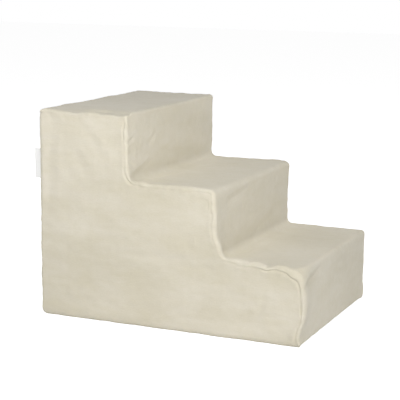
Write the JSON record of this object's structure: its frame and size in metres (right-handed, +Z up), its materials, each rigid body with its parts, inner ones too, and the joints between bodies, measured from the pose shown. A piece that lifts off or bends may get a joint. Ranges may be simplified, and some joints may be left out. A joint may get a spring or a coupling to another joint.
{
  "type": "pet stairs",
  "caption": "Foam pet stairs with wide treads in a removable plush cover, non-slip base, back zip with a sliding slider and hinged pull tab.",
  "frame": {"origin": "middle of the base on the floor, halfway between the back and the front and between the sides", "axes": "+X from the high back to the low front, +Y to the right of an animal walking up, +Z up"},
  "size_m": [0.614, 0.45, 0.455],
  "materials": {
    "plush": "short-pile cream plush",
    "foam": "open-cell upholstery foam",
    "base_fabric": "non-slip fabric with raised dots",
    "label_weave": "plain woven ribbon, bare",
    "zip_tape": "woven polyester tape",
    "zip_teeth": "moulded acetal",
    "slider_metal": "nickel-plated zinc"
  },
  "bodies": {
    "stairs": {"step_strip": "plush", "side_panel_left": "plush", "side_panel_right": "plush", "back_panel_upper": "plush", "back_panel_lower": "plush", "foam_block_base": "foam", "foam_block_middle": "foam", "foam_block_top": "foam", "base_panel": "base_fabric", "label_tag": "label_weave", "zip_tape_upper": "zip_tape", "zip_tape_lower": "zip_tape", "zip_teeth_upper": "zip_teeth", "zip_teeth_lower": "zip_teeth", "zip_top_stops": "zip_teeth", "zip_bottom_stop": "zip_teeth"},
    "slider": {"zip_slider_body": "slider_metal"},
    "pull": {"zip_pull_tab": "slider_metal"}
  },
  "joints": [
    {"name": "zip_slide", "type": "slide", "parent": "stairs", "child": "slider", "axis": [0, -1, 0], "range_m": [0, 0.3633], "deforming": ["zip_teeth_upper", "zip_teeth_lower"]},
    {"name": "pull_flip", "type": "hinge", "parent": "slider", "child": "pull", "pos_m": [-0.3009, 0.1849, 0.05], "axis": [0, 0.342, -0.9397], "range_deg": [0, 180]}
  ]
}
